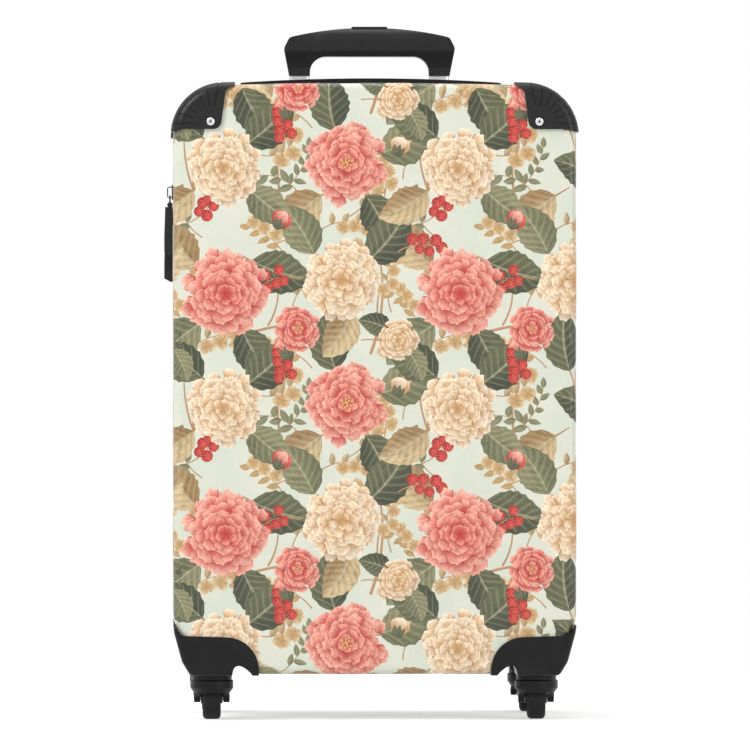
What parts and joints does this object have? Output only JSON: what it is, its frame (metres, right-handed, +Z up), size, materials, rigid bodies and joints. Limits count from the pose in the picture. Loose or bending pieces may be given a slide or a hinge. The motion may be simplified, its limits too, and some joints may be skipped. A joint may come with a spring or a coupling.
{
  "type": "suitcase",
  "caption": "Upright hard cabin suitcase with printed half shells, corner caps, spinner casters, telescopic pull handle, carry handle and side zip.",
  "frame": {"origin": "on the floor under the middle of the case", "axes": "+X to the right seen from the front, -Y towards the viewer of the front face, +Z up"},
  "size_m": [0.3556, 0.2486, 0.603],
  "materials": {
    "shell_print": "printed pale shell, semi-gloss",
    "lining_cloth": "plain woven lining",
    "mesh_cloth": "open mesh",
    "webbing": "ribbed webbing",
    "zip_tape": "woven tape",
    "trim_plastic": "satin black",
    "button_plastic": "smooth black",
    "hub_plastic": "dark grey",
    "tread_rubber": "smooth tread",
    "pin_steel": "plain steel",
    "screw_steel": "bright plated",
    "tube_metal": "satin anodised",
    "pull_metal": "black finish",
    "pull_rubber": "soft black plastic"
  },
  "bodies": {
    "rear_case": {"rear_shell": "shell_print", "rear_lining": "lining_cloth", "pack_strap_left": "webbing", "pack_strap_right": "webbing", "zip_tape_rear": "zip_tape", "hinge_tape": "zip_tape", "cap_rear_left": "trim_plastic", "cap_rear_right": "trim_plastic", "guard_rear_left": "trim_plastic", "guard_rear_right": "trim_plastic", "trolley_bezel": "trim_plastic", "pole_bracket": "trim_plastic", "handle_mount_left": "trim_plastic", "handle_mount_right": "trim_plastic", "strap_buckle": "trim_plastic", "kingpins_rear": "pin_steel", "screws_rear": "screw_steel", "outer_tube_left": "tube_metal", "outer_tube_right": "tube_metal"},
    "front_case": {"front_shell": "shell_print", "front_lining": "lining_cloth", "lid_pocket": "mesh_cloth", "zip_tape_front": "zip_tape", "screws_front": "screw_steel", "kingpins_front": "pin_steel", "cap_front_left": "trim_plastic", "cap_front_right": "trim_plastic", "guard_front_left": "trim_plastic", "guard_front_right": "trim_plastic"},
    "trolley": {"inner_tube_left": "tube_metal", "inner_tube_right": "tube_metal", "tube_plug_left": "trim_plastic", "tube_plug_right": "trim_plastic", "grip": "trim_plastic", "grip_cap": "trim_plastic"},
    "release_button": {"release_button": "button_plastic"},
    "carry_handle": {"top_handle": "trim_plastic"},
    "caster_front_left": {"caster_fork_front_left": "trim_plastic", "caster_axle_front_left": "pin_steel"},
    "wheel_front_left": {"caster_hub_front_left": "hub_plastic", "caster_tyre_front_left": "tread_rubber"},
    "caster_front_right": {"caster_fork_front_right": "trim_plastic", "caster_axle_front_right": "pin_steel"},
    "wheel_front_right": {"caster_hub_front_right": "hub_plastic", "caster_tyre_front_right": "tread_rubber"},
    "caster_rear_left": {"caster_fork_rear_left": "trim_plastic", "caster_axle_rear_left": "pin_steel"},
    "wheel_rear_left": {"caster_hub_rear_left": "hub_plastic", "caster_tyre_rear_left": "tread_rubber"},
    "caster_rear_right": {"caster_fork_rear_right": "trim_plastic", "caster_axle_rear_right": "pin_steel"},
    "wheel_rear_right": {"caster_hub_rear_right": "hub_plastic", "caster_tyre_rear_right": "tread_rubber"},
    "slider_upper": {"slider_upper": "pull_metal"},
    "link_upper": {"link_upper": "pull_metal"},
    "tab_upper": {"tab_upper": "pull_rubber"},
    "slider_lower": {"slider_lower": "pull_metal"},
    "link_lower": {"link_lower": "pull_metal"},
    "tab_lower": {"tab_lower": "pull_rubber"}
  },
  "joints": [
    {"name": "lid_hinge", "type": "hinge", "parent": "rear_case", "child": "front_case", "pos_m": [0.177, 0, 0.295], "axis": [0, 0, 1], "range_deg": [0, 180], "deforming": ["hinge_tape"]},
    {"name": "trolley_slide", "type": "slide", "parent": "rear_case", "child": "trolley", "axis": [0, 0, 1], "range_m": [0, 0.4]},
    {"name": "button_press", "type": "slide", "parent": "trolley", "child": "release_button", "axis": [0, 0, -1], "range_m": [0, 0.003], "stiffness_N_per_m": 600},
    {"name": "handle_lift", "type": "slide", "parent": "rear_case", "child": "carry_handle", "axis": [0, 0, 1], "range_m": [0, 0.012]},
    {"name": "swivel_front_left", "type": "hinge", "parent": "front_case", "child": "caster_front_left", "pos_m": [-0.1397, -0.088, 0.04], "axis": [0, 0, 1], "continuous": true},
    {"name": "roll_front_left", "type": "hinge", "parent": "caster_front_left", "child": "wheel_front_left", "pos_m": [-0.1397, -0.079, 0.0185], "axis": [1, 0, 0], "continuous": true},
    {"name": "swivel_front_right", "type": "hinge", "parent": "front_case", "child": "caster_front_right", "pos_m": [0.1397, -0.088, 0.04], "axis": [0, 0, 1], "continuous": true},
    {"name": "roll_front_right", "type": "hinge", "parent": "caster_front_right", "child": "wheel_front_right", "pos_m": [0.1397, -0.079, 0.0185], "axis": [1, 0, 0], "continuous": true},
    {"name": "swivel_rear_left", "type": "hinge", "parent": "rear_case", "child": "caster_rear_left", "pos_m": [-0.1397, 0.088, 0.04], "axis": [0, 0, 1], "continuous": true},
    {"name": "roll_rear_left", "type": "hinge", "parent": "caster_rear_left", "child": "wheel_rear_left", "pos_m": [-0.1397, 0.097, 0.0185], "axis": [1, 0, 0], "continuous": true},
    {"name": "swivel_rear_right", "type": "hinge", "parent": "rear_case", "child": "caster_rear_right", "pos_m": [0.1397, 0.088, 0.04], "axis": [0, 0, 1], "continuous": true},
    {"name": "roll_rear_right", "type": "hinge", "parent": "caster_rear_right", "child": "wheel_rear_right", "pos_m": [0.1397, 0.097, 0.0185], "axis": [1, 0, 0], "continuous": true},
    {"name": "slider_upper_run", "type": "slide", "parent": "rear_case", "child": "slider_upper", "axis": [0, 0, 1], "range_m": [0, 0.038]},
    {"name": "link_upper_swing", "type": "hinge", "parent": "slider_upper", "child": "link_upper", "pos_m": [-0.17565, 0, 0.4518], "axis": [0, 1, 0], "range_deg": [0, 95]},
    {"name": "tab_upper_swing", "type": "hinge", "parent": "link_upper", "child": "tab_upper", "pos_m": [-0.17565, 0, 0.4442], "axis": [0, 1, 0], "range_deg": [0, 80]},
    {"name": "slider_lower_run", "type": "slide", "parent": "rear_case", "child": "slider_lower", "axis": [0, 0, -1], "range_m": [0, 0.33]},
    {"name": "link_lower_swing", "type": "hinge", "parent": "slider_lower", "child": "link_lower", "pos_m": [-0.17565, 0, 0.4294], "axis": [0, 1, 0], "range_deg": [0, 95]},
    {"name": "tab_lower_swing", "type": "hinge", "parent": "link_lower", "child": "tab_lower", "pos_m": [-0.17565, 0, 0.4218], "axis": [0, 1, 0], "range_deg": [0, 80]}
  ]
}
